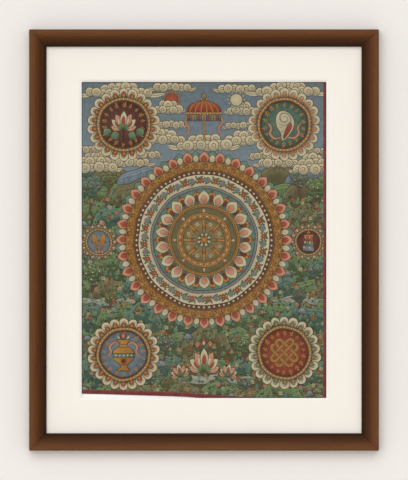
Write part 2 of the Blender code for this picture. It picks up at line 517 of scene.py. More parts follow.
def smooth(points, closed=True, steps=4):
    """A curve that passes through all the points."""
    count = len(points)
    curve = []
    for i in range(count if closed else count - 1):
        places = [i + k for k in (-1, 0, 1, 2)]
        near = [points[k % count if closed else min(max(k, 0), count - 1)] for k in places]
        for step in range(steps):
            along = step / steps
            curve.append(tuple(
                0.5 * (2 * b + (c - a) * along + (2 * a - 5 * b + 4 * c - d) * along**2
                       + (3 * b - a - 3 * c + d) * along**3)
                for a, b, c, d in zip(*near)
            ))
    return curve if closed else curve + [points[-1]]


def both_sides(right_half):
    """A closed outline from its right half, which runs from the foot up to the top."""
    return list(right_half) + [(-x, z) for x, z in reversed(right_half) if x > 0.01]


# Repeats of the painting: petals, pearls and scrolls set round a ring, a row that follows
# a line, and flowers and tufts strewn over the meadow. Each is a small motif that the painter
# pounced again and again, never quite alike.

MOTIF_INPUTS = (
    ("Motif", "NodeSocketObject", None),
    ("Pigment", "NodeSocketMaterial", None),
    ("Size", "NodeSocketFloat", 1.0),
    ("Unevenness", "NodeSocketFloat", 0.04),
    ("Seed", "NodeSocketInt", 1),
)
STREWN_DENSITY = 40000.0


def new_tree(name, *inputs):
    """A tree with the motif's inputs, the others given and a geometry output, and its inputs."""
    tree = bpy.data.node_groups.new(name, "GeometryNodeTree")
    for label, kind, default in MOTIF_INPUTS + inputs:
        made = tree.interface.new_socket(label, in_out="INPUT", socket_type=kind)
        if default is not None:
            made.default_value = default
    tree.interface.new_socket("Geometry", in_out="OUTPUT", socket_type="NodeSocketGeometry")
    return tree, tree.nodes.new("NodeGroupInput").outputs


def uneven(tree, given, seed_step):
    """A random value for each point, from minus to plus the unevenness."""
    spread = given["Unevenness"]
    low = node(tree, "ShaderNodeMath", {0: spread, 1: -1.0}, operation="MULTIPLY").outputs[0]
    seed = node(tree, "ShaderNodeMath", {0: given["Seed"], 1: seed_step}, operation="ADD").outputs[0]
    values = node(tree, "FunctionNodeRandomValue", data_type="FLOAT")
    sockets = {socket.identifier: socket for socket in values.inputs}
    for name, value in (("Min_001", low), ("Max_001", spread), ("Seed", seed)):
        tree.links.new(value, sockets[name])
    return next(socket for socket in values.outputs if socket.identifier == "Value_001")


def set_motifs(tree, given, points, turn):
    """Stands a copy of the motif on each point, turned about Y, and makes them real."""
    slip, swell, tone = (uneven(tree, given, step) for step in (1, 2, 3))
    turned = node(tree, "ShaderNodeMath", {0: turn, 1: slip}, operation="ADD")
    rotation = node(tree, "ShaderNodeCombineXYZ", {"Y": turned})
    grown = node(tree, "ShaderNodeMath", {0: swell, 1: 1.0}, operation="ADD")
    size = node(tree, "ShaderNodeMath", {0: grown, 1: given["Size"]}, operation="MULTIPLY")
    motif = node(tree, "GeometryNodeObjectInfo", {"Object": given["Motif"]}).outputs["Geometry"]
    placing = {"Points": points, "Instance": motif, "Rotation": rotation, "Scale": size}
    copies = node(tree, "GeometryNodeInstanceOnPoints", placing)
    toning = {"Geometry": copies, "Name": "tone", "Value": tone}
    toned = node(tree, "GeometryNodeStoreNamedAttribute", toning, data_type="FLOAT", domain="INSTANCE")
    real = node(tree, "GeometryNodeRealizeInstances", {"Geometry": toned})
    coloured = node(tree, "GeometryNodeSetMaterial", {"Geometry": real, "Material": given["Pigment"]})
    node(tree, "NodeGroupOutput", {0: coloured})


def ring_tree():
    """Count copies round a circle, the first at the top, each with its foot to the middle."""
    tree, given = new_tree(
        "motifs round a ring",
        ("Count", "NodeSocketInt", 12),
        ("Radius", "NodeSocketFloat", 0.05),
        ("First Turn", "NodeSocketFloat", 0.0),
    )
    index = node(tree, "GeometryNodeInputIndex")
    share = node(tree, "ShaderNodeMath", {0: index, 1: given["Count"]}, operation="DIVIDE")
    turning = {0: share, 1: math.tau, 2: given["First Turn"]}
    turn = node(tree, "ShaderNodeMath", turning, operation="MULTIPLY_ADD")
    across, up = (
        node(
            tree,
            "ShaderNodeMath",
            {0: node(tree, "ShaderNodeMath", {0: turn}, operation=wave), 1: given["Radius"]},
            operation="MULTIPLY",
        )
        for wave in ("SINE", "COSINE")
    )
    place = node(tree, "ShaderNodeCombineXYZ", {"X": across, "Z": up})
    points = node(tree, "GeometryNodePoints", {"Count": given["Count"], "Position": place})
    set_motifs(tree, given, points, turn)
    return tree


def row_tree():
    """Copies along a line at an even spacing, each turned to run with it."""
    tree, given = new_tree(
        "motifs along a line", ("Line", "NodeSocketObject", None), ("Spacing", "NodeSocketFloat", 0.004)
    )
    line = node(tree, "GeometryNodeObjectInfo", {"Object": given["Line"]}).outputs["Geometry"]
    spacing = {"Curve": node(tree, "GeometryNodeMeshToCurve", {"Mesh": line}), "Length": given["Spacing"]}
    spots = node(tree, "GeometryNodeCurveToPoints", spacing, mode="LENGTH")
    tangent = node(tree, "ShaderNodeSeparateXYZ", {"Vector": spots.outputs["Tangent"]}).outputs
    turn = node(tree, "ShaderNodeMath", {0: tangent["Z"], 1: tangent["X"]}, operation="ARCTAN2")
    about_y = node(tree, "ShaderNodeMath", {0: turn, 1: -1.0}, operation="MULTIPLY")
    set_motifs(tree, given, spots, about_y)
    return tree


def strewn_tree():
    """Copies strewn over a patch, never nearer to each other than the spacing."""
    tree, given = new_tree(
        "motifs strewn over a patch",
        ("Patch", "NodeSocketObject", None),
        ("Spacing", "NodeSocketFloat", 0.01),
    )
    patch = node(tree, "GeometryNodeObjectInfo", {"Object": given["Patch"]}).outputs["Geometry"]
    strewing = {"Mesh": patch, "Distance Min": given["Spacing"], "Density Max": STREWN_DENSITY,
                "Seed": given["Seed"]}
    spots = node(tree, "GeometryNodeDistributePointsOnFaces", strewing, distribute_method="POISSON")
    set_motifs(tree, given, spots, uneven(tree, given, 4))
    return tree


RING, ROW, STREWN = ring_tree(), row_tree(), strewn_tree()


def flat_mesh(name, part):
    """A mesh of one pigment's share of a motif."""
    mesh = bpy.data.meshes.new(name)
    mesh.from_pydata(part["points"], [], part["faces"])
    for key in ("shade", "tone"):
        mesh.attributes.new(key, "FLOAT", "POINT").data.foreach_set("value", part[key])
    return mesh


def grown(tree, values):
    """The plain mesh that the tree makes from its named inputs."""
    holder = shaped("holder", [])
    modifier = holder.modifiers.new("repeat", "NODES")
    modifier.node_group = tree
    for item in tree.interface.items_tree:
        if item.in_out == "INPUT" and item.name in values:
            modifier[item.identifier] = values[item.name]
    mesh = applied(holder).data
    bpy.data.objects.remove(holder)
    return mesh


def repeated(tree, target, motif, coat, **values):
    """Runs the tree for each pigment of the motif and adds what it makes to the target."""
    named = {name.replace("_", " ").title(): value for name, value in values.items()}
    for pigment, part in motif.items():
        source = linked_object("motif", flat_mesh("motif", part))
        mesh = grown(tree, {"Motif": source, "Pigment": paint_materials[pigment], **named})
        found = {key: [point.value for point in mesh.attributes[key].data] for key in ("shade", "tone")}
        found["points"] = [tuple(point.co) for point in mesh.vertices]
        found["faces"] = [tuple(face.vertices) for face in mesh.polygons]
        stamp(target, {pigment: found}, (0, 0), coat)
        bpy.data.objects.remove(source)


def ring_of(target, motif, count, radius, coat, first=0.0, uneven_by=0.04, seed=1):
    """Sets the motif round a circle. The radius is in millimetres and first in steps."""
    repeated(
        RING, target, motif, coat, count=count, radius=radius * MM,
        first_turn=math.tau * first / count, unevenness=uneven_by, seed=seed, size=1.0,
    )


# Lotus wheels: the painting's round panels. Petals are laid in rings, each shaded from a dark
# root to a light tip, with pearl, scroll and vine borders between them.


def petal_outline(length, width, steps=6):
    """A lotus petal that stands on its root, with its belly past the middle and a sharp tip."""
    side = []
    for step in range(steps + 1):
        along = step / steps
        side.append((width / 2 * math.sin(math.pi * along**1.15) ** 0.85, length * along))
    return both_sides(side)


def lotus_petal(pigment, length, width, heart=None, line=0.8, steps=6):
    """A petal with an inked edge, and a second colour at its heart if one is given."""
    petal = {}
    outline = petal_outline(length, width, steps)
    inked(petal, pigment, outline, 0, line, 0.6, (0.1, 1.0))
    if heart:
        inner = [(x * 0.52, length * 0.1 + z * 0.64) for x, z in outline]
        inked(petal, heart, inner, 0.3, line * 0.6, light=(0.1, 1.0))
    else:
        vein = [(0, length * 0.15), (0, length * 0.45), (0, length * 0.75)]
        stroke(petal, "ink", vein, 0.3, line * 0.7)
    return petal


def pearl(pigment, radius, steps=9):
    """A round bead with an inked edge."""
    bead = {}
    inked_disc(bead, pigment, radius, 0, 0.5, (1.0, 0.5), steps=steps)
    return bead


def rosette(pigment, radius, petals=6):
    """A flower seen from above: round petals about a gold eye."""
    flower, petal = {}, {}
    inked_disc(petal, pigment, radius * 0.36, 0, 0.35, (0.2, 0.9), (0, radius * 0.6), 8)
    for i in range(petals):
        stamp(flower, petal, (0, 0), (i % 2) * 0.6, math.tau * i / petals)
    inked_disc(flower, "ochre", radius * 0.3, 1.2, 0.3, (1.0, 0.6), steps=8)
    return flower


def sprig(pigment, reach, shade=(0.2, 1.0)):
    """A curling stem with five narrow leaves."""
    spray, leaf = {}, {}
    bends = [(0, 0), (reach * 0.12, reach * 0.35), (0, reach * 0.7), (reach * 0.22, reach)]
    stroke(spray, pigment, smooth(bends, closed=False), 0, 0.8, shade=shade[0])
    fill(leaf, pigment, petal_outline(reach * 0.42, reach * 0.2, 3), 0.3, shade)
    for i, (x, z, turn) in enumerate((
        (0.06, 0.25, -1.1), (0.08, 0.3, 1.0), (0.04, 0.55, -0.9), (0.03, 0.62, 0.9), (0.1, 0.78, 0.2),
    )):
        stamp(spray, leaf, (x * reach, z * reach), i * 0.3, turn)
    return spray


def scroll(width):
    """A leafy S-scroll, inked on gold."""
    leaf = {}
    left = spiral(width * 0.34, width * 0.08, 1.3, 250, (-width * 0.2, -0.5))
    right = spiral(width * 0.3, width * 0.07, -1.2, 200, (width * 0.26, 1.0))
    stroke(leaf, "ink", left, 0, 0.85, ends=0.5)
    stroke(leaf, "ink", right, 0.3, 0.85, ends=0.5)
    stroke(leaf, "lac", arc(width * 0.4, 15, 125, (0, -width * 0.1), 5), 0.6, 0.85, shade=0.0)
    fill(leaf, "cinnabar", petal_outline(width * 0.34, width * 0.2, 3), 0.6, (0.2, 0.6))
    return leaf


def vine(pitch, rise):
    """One wave of a flowering stem: it climbs to a red flower and falls to a blue one."""
    wave = {}
    steps = 12
    stem = [(pitch * (i / steps - 0.5), rise * math.sin(math.tau * i / steps)) for i in range(steps + 1)]
    stroke(wave, "ink", stem, 0, 1.7, ends=1)
    stroke(wave, "malachite", stem, 0.3, 1.0, ends=1, shade=0.6)
    for x, z, pigment in ((-pitch / 4, -rise * 0.15, "cinnabar"), (pitch / 4, rise * 0.15, "azurite")):
        stamp(wave, rosette(pigment, 4.1), (x, z), 0.6)
    leaf = lotus_petal("verdigris", 4.6, 2.6, line=0.5, steps=3)
    for x, z, turn in (
        (-0.02, 0.2, 0.6), (0.02, -0.2, 3.7), (-0.44, 0.5, -0.4),
        (0.46, -0.4, 2.6), (-0.24, 1.1, 1.4), (0.24, -1.1, 4.5),
    ):
        stamp(wave, leaf, (x * pitch, z * rise), 0.6, turn)
    return wave


def edge_lines(target, radii, coat, width):
    """Ink circles round the middle of a wheel."""
    for radius in radii:
        stroke(target, "ink", circle(radius, steps=96), coat, width, closed=True)


# Signs: the eight auspicious signs of traditional ornament, each a small drawing that stands in
# a wheel or among the clouds.


def dharma_wheel():
    """A wheel of eight spokes with jewelled tips."""
    wheel = {}
    ring_of(wheel, lotus_petal("salmon", 8, 6, "chalk", 0.6), 8, 43, 0)
    ring_of(wheel, sprig("ochre", 9, (0.5, 0.9)), 16, 19, 0, first=0.5, uneven_by=0.12, seed=9)
    ring_of(wheel, rosette("chalk", 3.2), 8, 27.5, 0.6, first=0.5)
    band(wheel, "ochre", 34, 44, 2, (0.35, 0.95))
    edge_lines(wheel, (34, 36, 42, 44), 2.4, 0.8)
    ring_of(wheel, pearl("chalk", 1.3), 24, 39, 2.4, first=0.5)
    ring_of(wheel, pearl("cinnabar", 1.0), 24, 39, 2.4)
    spoke = {}
    fill(spoke, "ochre", [(-1.5, 8), (1.5, 8), (2.6, 20), (1.5, 34), (-1.5, 34), (-2.6, 20)], 0)
    for side in (-1, 1):
        stroke(spoke, "ink", [(side * 1.5, 8), (side * 2.6, 20), (side * 1.5, 34)], 0.4, 0.8, ends=1)
    stamp(spoke, pearl("cinnabar", 1.7), (0, 20), 0.4)
    ring_of(wheel, spoke, 8, 0, 1.4)
    ring_of(wheel, lotus_petal("verdigris", 9, 8, "chalk", 0.6), 8, 4, 3.4, first=0.5)
    band(wheel, "ochre", 0, 6.5, 4.4, (1, 0.4), steps=32)
    edge_lines(wheel, (6.5, 3.2), 4.8, 0.7)
    ring_of(wheel, pearl("cinnabar", 0.8), 4, 4.8, 5)
    return wheel


def lotus_bloom(scale=1.0):
    """An open lotus seen from the side, on its calyx."""
    bloom = {}
    for turn, length, pigment, coat in (
        (-78, 17, "salmon", 0), (78, 17, "salmon", 0), (-52, 20, "chalk", 1), (52, 20, "chalk", 1),
        (-27, 22, "salmon", 2), (27, 22, "salmon", 2), (0, 24, "chalk", 3),
    ):
        heart = "cinnabar" if pigment == "chalk" else "chalk"
        petal = lotus_petal(pigment, length * scale, 9.5 * scale, heart)
        stamp(bloom, petal, (0, 0), coat, math.radians(turn))
    for i, turn in enumerate((-64, 64, -32, 32, 0)):
        leaf = lotus_petal("malachite", 8 * scale, 5.5 * scale, line=0.6)
        stamp(bloom, leaf, (0, -0.5), 4 + i * 0.9, math.radians(turn))
    return bloom


def ribbon_pair(target, right_points):
    """A silk ribbon that floats out on both sides."""
    for side in (-1, 1):
        line = smooth([(side * x, z) for x, z in right_points], closed=False)
        stroke(target, "ink", line, 0, 4.6)
        stroke(target, "salmon", line, 0.3, 3.2, shade=0.6)


def treasure_vase():
    """A round-bellied vase with a jewel in its mouth."""
    vase = {}
    ribbon_pair(vase, [(6, 13), (13, 17), (20, 11), (18, 3), (23, -4)])
    for side in (-1, 1):
        stamp(vase, lotus_petal("azurite", 10, 6, "chalk", 0.6), (side * 4, 20.3), 0.9, side * 0.7)
    profile = [(0, -24), (9, -24), (8.5, -21.5), (4.5, -18.5), (6, -15), (13, -9), (16, -1),
               (13.5, 6), (7.5, 10), (5.5, 13), (6.5, 16.5), (10, 19), (9, 20.5), (0, 20.5)]
    body = both_sides(smooth(profile, closed=False, steps=3))
    inked(vase, "ochre", body, 2, 0.9, 0.6, (0.9, 0.2), (1, -0.4))
    fill(vase, "verdigris", [(-15.2, -5), (15.2, -5), (15.6, 1), (-15.6, 1)], 2.3, (0.8, 0.2), (1, 0))
    for height, reach in ((-5, 15.2), (1, 15.6), (-15, 6), (10, 7.5), (14, 5.4)):
        stroke(vase, "ink", [(-reach, height), (0, height - 1), (reach, height)], 2.9, 0.7, ends=1)
    for x in (-11, -5.5, 0, 5.5, 11):
        stamp(vase, pearl("chalk", 1.4), (x, -2.2), 3)
    petal = lotus_petal("cinnabar", 4.8, 3.2, line=0.5)
    for i in range(6):
        stamp(vase, petal, (0, -10.5), 3 + i * 0.25, math.tau * i / 6)
    stamp(vase, lotus_petal("cinnabar", 13, 9, "salmon", 0.7), (0, 20), 3)
    return vase


def conch_shell():
    """A conch that coils at the top and opens on its right side."""
    shell = {}
    ribbon_pair(shell, [(3, -18), (14, -20), (21, -13), (19, -5), (24, 2)])
    body = smooth([(-3, -24), (5, -19), (12, -8), (14, 5), (9, 16), (0, 20), (-9, 17), (-13, 8),
                   (-11, -3), (-6, -13)])
    inked(shell, "chalk", body, 1, 0.9, 0.6, (0.2, 1.0), (-0.5, 1))
    mouth = smooth([(-1, -21), (6, -13), (10, -4), (8, 3), (3, -3), (0, -12)])
    inked(shell, "cinnabar", mouth, 1.3, 0.7, light=(0.2, 0.8))
    stroke(shell, "ink", spiral(11, 1.5, 1.9, 200, (0, 9), 22), 1.9, 0.8)
    stroke(shell, "water_blue", spiral(12.4, 3, 1.9, 200, (0, 9), 22), 1.6, 1.1, shade=0.2)
    for x, z in ((-9, -3), (-7, -9), (-4.5, -15)):
        stroke(shell, "ink", [(x, z), (x + 4, z - 1.5), (x + 7, z + 1)], 1.9, 0.6)
    return shell


def endless_knot():
    """A cord laid back and forth in a slanting lattice, with a loop at each turn."""
    knot = {}
    pitch, reach = 9.5, 15.5
    slant = math.sqrt(0.5)

    def cord(points, coat):
        line = [((x - z) * slant, (x + z) * slant) for x, z in points]
        stroke(knot, "ink", line, coat, 5.2, ends=1)
        stroke(knot, "ochre", line, coat + 0.4, 3.6, ends=1, shade=0.75)
        stroke(knot, "lac", line, coat + 0.7, 0.6, ends=1, shade=0.6)

    for side in (0, 1):
        middle = pitch * (side - 0.5)
        cord(arc(pitch / 2, -90, 90, (reach, middle)), side)
        cord(arc(pitch / 2, 90, 270, (-reach, middle)), side)
        cord(arc(pitch / 2, 0, 180, (middle, reach)), 2 + side)
        cord(arc(pitch / 2, 180, 360, (middle, -reach)), 2 + side)
    offsets = (-pitch, 0, pitch)
    for offset in offsets:
        cord([(-reach, offset), (0, offset), (reach, offset)], 4)
        cord([(offset, -reach), (offset, 0), (offset, reach)], 5)
    for i, x in enumerate(offsets):
        for j, z in enumerate(offsets):
            if (i + j) % 2:
                cord([(x - 3.4, z), (x, z), (x + 3.4, z)], 6)
    return knot


def golden_fish():
    """Two fish side by side, nose up, leaning apart."""
    pair, fish = {}, {}
    body = smooth([(0, 19), (4.5, 13), (5.5, 4), (3.5, -6), (1.2, -13), (-1.2, -13), (-3.5, -6),
                   (-5.5, 4), (-4.5, 13)])
    for side in (-1, 1):
        stamp(fish, lotus_petal("salmon", 10, 5, line=0.6), (0, -12), 0, math.pi + side * 0.45)
        stamp(fish, lotus_petal("cinnabar", 7, 3.6, line=0.6), (side * 3.6, 5), 0, side * 2.1)
    inked(fish, "ochre", body, 0.9, 0.8, light=(0.1, 1.0))
    for z in (9.5, 6.5, 3.5, 0.5, -2.5, -5.5):
        scales = [(-3.4, z + 1), (-1.7, z - 1), (0, z + 1), (1.7, z - 1), (3.4, z + 1)]
        stroke(fish, "ink", scales, 1.5, 0.5)
    for side in (-1, 1):
        stamp(fish, pearl("chalk", 0.9), (side * 2.3, 13.2), 1.5)
    stamp(pair, fish, (-6.5, 0), 0, math.radians(-12))
    stamp(pair, fish, (6.5, 0), 2.4, math.radians(12))
    return pair


def parasol():
    """A domed parasol with a pleated valance, a jewelled top and streamers."""
    shade = {}
    for pigment, coat, width in (("ink", 0, 3.6), ("ochre", 0.3, 2.2)):
        stroke(shade, pigment, [(0, 8), (0, -15), (0, -38)], coat, width, ends=1, shade=0.8)
    ribbon_pair(shade, [(27, 4), (31, -8), (24, -18), (30, -30)])
    pleats = ("cinnabar", "verdigris", "ochre", "azurite")
    for i in range(14):
        x = -28 + 4 * i
        pleat = [(x, 8), (x, -4), (x + 1, -5.6), (x + 3, -5.6), (x + 4, -4), (x + 4, 8)]
        inked(shade, pleats[i % 4], pleat, 1, 0.7)
    turns = [math.pi * step / 20 for step in range(21)]
    dome = [(30 * math.cos(turn), 8 + 21 * math.sin(turn) ** 0.9) for turn in turns]
    fill(shade, "cinnabar", dome, 1.8, (0.1, 0.95))
    for reach in (-0.8, -0.5, -0.17, 0.17, 0.5, 0.8):
        rib = [(30 * reach * math.cos(turn / 2), 8 + 21 * math.sin(turn / 2)) for turn in turns[::2]]
        stroke(shade, "ochre", rib, 2.1, 1.5, ends=1, shade=0.8)
        stroke(shade, "ink", [(x + 1, z) for x, z in rib], 2.4, 0.5, ends=1)
    stroke(shade, "ink", dome, 2.4, 0.9, closed=True)
    inked(shade, "ochre", [(-31, 5), (31, 5), (31, 9), (-31, 9)], 2.7, 0.7, light=(0.3, 0.9))
    for i in range(11):
        stamp(shade, pearl("chalk", 1.1), (-27.5 + 5.5 * i, 7), 3)
    for side in (-1, 1):
        stamp(shade, lotus_petal("salmon", 8, 5, line=0.6), (0, 28.5), 2.7, side * 0.9)
    stamp(shade, lotus_petal("ochre", 13, 8, "verdigris"), (0, 28), 3.6)
    return shade


def victory_banner():
    """A banner in three tiers of cloth, each with a pointed valance."""
    banner = {}
    stroke(banner, "ink", [(0, -16), (0, -20), (0, -24)], 0, 2.4, ends=1)
    for tier, (top, reach) in enumerate(((-6, 11.5), (4, 10), (14, 8.5))):
        coat = 0.3 + tier * 1.5
        cloth = [(-reach + 1, top), (-reach, top - 10), (reach, top - 10), (reach - 1, top)]
        pigment = ("azurite", "verdigris", "cinnabar")[tier]
        inked(banner, pigment, cloth, coat, 0.7, light=(0.1, 0.9), towards=(1, 0))
        for i in range(4):
            x = -reach + (i + 0.5) * reach / 2
            tongue = [(x - reach / 4, top - 1), (x, top - 6.5), (x + reach / 4, top - 1)]
            inked(banner, "ochre" if i % 2 else "chalk", tongue, coat + 0.6, 0.5, light=(0.9, 0.3))
    stroke(banner, "ochre", [(-8.6, 14.6), (0, 15), (8.6, 14.6)], 4.6, 2.2, ends=1, shade=0.9)
    stamp(banner, lotus_petal("ochre", 9, 6, "cinnabar", 0.6), (0, 15), 4.9)
    return banner


# Landscape: a blue sky with curled clouds over rows of green hills, trees, streams and
# flowers, as such paintings have behind their main figures.

painting = {}
PAGE_LEFT, PAGE_RIGHT = -190, 178
PAGE_TOP, PAGE_FOOT = 240, -245
HORIZON = 66
HILL_DEPTH = 46
HILL_BANDS = ((0, 1.15), (4, 0.4), (5.2, 0.95), (9, 0.3), (10.4, 0.7), (18, 0.15))


def hill(target, left, right, base, height, pigment, coat, seed):
    """A rounded hill: light at its brow, banded, dark at its foot, with an inked edge and cracks."""
    chance = random.Random(seed)
    lumps = chance.uniform(0.1, 0.22)
    phase = chance.uniform(0, math.tau)
    brow = []
    for step in range(17):
        along = step / 16
        swell = math.sin(math.pi * along)
        rise = swell**0.7 + lumps * math.sin(3 * math.pi * along + phase) * swell
        brow.append((left + (right - left) * along, base + height * rise))
    middle = (left + right) / 2
    rows = len(HILL_BANDS) + 1
    body, shades, faces = [], [], []
    for x, z in brow:
        spread = (x - middle) * 0.45
        foot = base - HILL_DEPTH
        for down, shade in HILL_BANDS:
            body.append((x + spread * down / (z - foot), z - down))
            shades.append(shade)
        body.append((x + spread, foot))
        shades.append(-0.1)
    for step in range(len(brow) - 1):
        for row in range(rows - 1):
            corner = step * rows + row
            faces.append((corner, corner + 1, corner + 1 + rows, corner + rows))
    add_shape(target, pigment, body, shades, faces, coat)
    edge = [body[rows - 1], body[rows - 2], *brow, body[-2], body[-1]]
    stroke(target, "ink", edge, coat + 0.2, 1.0, ends=0.7)
    for place in chance.sample(range(2, 15), 6):
        x, z = brow[place]
        drop = chance.uniform(2.2, 9)
        crack = [(x, z - drop), (x + chance.uniform(-2, 2), z - drop - 4),
                 (x + chance.uniform(-3, 3), z - drop - chance.uniform(7, 12))]
        stroke(target, "ink", crack, coat + 0.2, 0.7)


def hill_row(target, base, pigments, coat, seed):
    """Hills side by side across the page, each a little in front of the last."""
    chance = random.Random(seed)
    x = PAGE_LEFT - chance.uniform(0, 40)
    count = 0
    while x < PAGE_RIGHT:
        width = chance.uniform(46, 80)
        pigment = pigments[count % len(pigments)]
        hill(target, x, x + width, base, chance.uniform(14, 26), pigment,
             coat + (count % 3) * 0.4, chance.random())
        x += width * chance.uniform(0.55, 0.7)
        count += 1


def stream(target, base, left, right, coat, seed):
    """A band of water with ripples in three colours."""
    chance = random.Random(seed)
    steps = 14
    upper, lower = [], []
    for i in range(steps + 1):
        x = left + (right - left) * i / steps
        swell = math.sin(math.pi * (i / steps)) ** 0.45
        drift = base + 1.5 * math.sin(i * 1.3 + seed)
        upper.append((x, drift + 6 * swell))
        lower.append((x, drift - 7 * swell))
    fill(target, "water_blue", upper + lower[::-1], coat, (0.2, 0.9))
    for bank in (upper, lower):
        stroke(target, "ink", bank, coat + 0.3, 0.9)
    for i in range(round((right - left) / 3.2)):
        x, z = chance.uniform(left + 10, right - 20), base + chance.uniform(-4.5, 3.5)
        pigment = ("azurite", "chalk", "ink")[i % 3]
        ripple = [(x, z), (x + 3, z + 0.9), (x + 6, z), (x + 9, z + 0.7)]
        stroke(target, pigment, ripple, coat + 0.3 + (i % 3) * 0.25, 0.8, shade=0.4)


def curled_lobe(radius, turn, way):
    """One round of cloud with an inked edge, a curl and a blue shadow at its foot."""
    lobe = {}
    band(lobe, "ink", 0, radius + 0.8, 0, steps=18)
    fill(lobe, "chalk", circle(radius), 0.25, (0.15, 1.1))
    stroke(lobe, "ink", spiral(radius * 0.62, radius * 0.1, 1.35 * way, turn, steps=13), 0.5, 0.8)
    stroke(lobe, "water_blue", arc(radius * 0.8, 200, 330, steps=6), 0.5, 1.2, shade=0.25)
    return lobe


def cloud_bank(width, rows, lobe, seed):
    """Curled lobes heaped into a dome, the near rows over the far ones, with drawn-out tails."""
    chance = random.Random(seed)
    bank = {}
    for side in (-1, 1):
        tail = smooth([(side * width * 0.4, -2), (side * width * 0.62, -lobe * 0.55),
                       (side * width * 0.8, -1)], closed=False)
        stroke(bank, "ink", tail, 0, lobe * 1.05, ends=0.1)
        stroke(bank, "chalk", tail, 0.3, lobe * 1.05 - 1.6, ends=0.1, shade=0.8)
        stroke(bank, "ink", tail[3:], 0.6, 0.7)
    for row in range(rows):
        reach = width / 2 * (row + 1) / rows
        count = max(1, round(2 * reach / (lobe * 1.35)))
        for i in range(count + 1):
            x = -reach + 2 * reach * i / count
            z = (rows - 1 - row) * lobe * 1.1 + chance.uniform(-0.2, 0.2) * lobe
            curl = curled_lobe(lobe * chance.uniform(0.85, 1.12), 250 + chance.uniform(-40, 40),
                               -1 if x < 0 else 1)
            stamp(bank, curl, (x, z), 0.9 + row * 1.6 + (i % 2) * 0.8)
    return bank


def small_tree(height, leaf, blossom, seed):
    """A small tree: a bent trunk under rounded tufts of leaves, dotted with blossom."""
    chance = random.Random(seed)
    plant = {}
    trunk = smooth([(0, 0), (1.5, height * 0.25), (-1, height * 0.5), (0.5, height * 0.75)], closed=False)
    stroke(plant, "ink", trunk, 0, 3.8, ends=0.7)
    stroke(plant, "lac", trunk, 0.3, 2.4, ends=0.7, shade=0.95)
    tufts = 9
    for i in range(tufts):
        angle = math.tau * (i * 0.382 + 0.1)
        reach = height * 0.3 * math.sqrt((i + 0.5) / tufts)
        tuft = {}
        radius = height * chance.uniform(0.13, 0.17)
        band(tuft, "ink", 0, radius + 0.8, 0, steps=12)
        fill(tuft, leaf, circle(radius, steps=12), 0.25, (-0.1, 1.0))
        for mark in range(7):
            away, turn = radius * (0.25 + 0.5 * (mark % 2)), math.tau * mark / 7
            spot = (away * math.cos(turn), away * math.sin(turn))
            stroke(tuft, "ink", arc(1.7, 20, 160, spot, 3), 0.5, 0.6)
        spot = (chance.uniform(-0.4, 0.4) * radius, chance.uniform(-0.4, 0.4) * radius)
        stamp(tuft, pearl(blossom, 1.3, 7), spot, 0.75)
        at = (reach * math.cos(angle) * 1.15, height * 0.78 + reach * math.sin(angle) * 0.85)
        stamp(plant, tuft, at, 0.6 + (tufts - i) * 1.1)
    return plant


def small_flower(pigment):
    """Five round petals about a gold eye, with two leaves."""
    flower = {}
    for side in (-1, 1):
        stamp(flower, lotus_petal("malachite", 5, 2.6, line=0.4, steps=3), (0, -0.5), 0, side * 1.9)
    stamp(flower, rosette(pigment, 2.9, 5), (0, 0), 0.9)
    return flower


def grass_tuft(pigment, shade):
    """Five blades from one root."""
    tuft = {}
    for i, lean in enumerate((-2.8, 2.8, -1.4, 1.4, 0)):
        blade = [(0, 0), (lean * 0.5, 2.3), (lean, 4.6 - abs(lean) * 0.4)]
        stroke(tuft, pigment, blade, i * 0.3, 0.8, shade=shade)
    return tuft


def leafy_rock(seed):
    """A faceted rock with an inked edge and a few lit facets."""
    chance = random.Random(seed)
    rock = {}
    edge = [(-7, 0), (-6, 5), (-2, 8.5), (2.5, 7), (6.5, 4), (7.5, 0)]
    edge = [(x + chance.uniform(-1, 1), z + chance.uniform(-0.8, 0.8) * (z > 0)) for x, z in edge]
    inked(rock, "azurite" if seed % 2 else "olive_earth", edge, 0, 0.9, light=(0.0, 1.1))
    for x, z in edge[1:5]:
        stroke(rock, "ink", [(x, z), (x * 0.6, z * 0.6), (x * 0.7, z * 0.15)], 0.6, 0.6)
        stroke(rock, "chalk", [(x * 0.86, z * 0.9), (x * 0.5, z * 0.62), (x * 0.55, z * 0.3)], 0.9, 0.6)
    return rock


def strew(target, motif, spacing, corners, coat, seed):
    """Strews the motif over a patch of the page. Corners are (x, z) in millimetres."""
    part = {}
    fill(part, "ink", corners, 0)
    patch = linked_object("patch", flat_mesh("patch", part["ink"]))
    repeated(STREWN, target, motif, coat, patch=patch, spacing=spacing * MM, unevenness=0.15, seed=seed)
    bpy.data.objects.remove(patch)


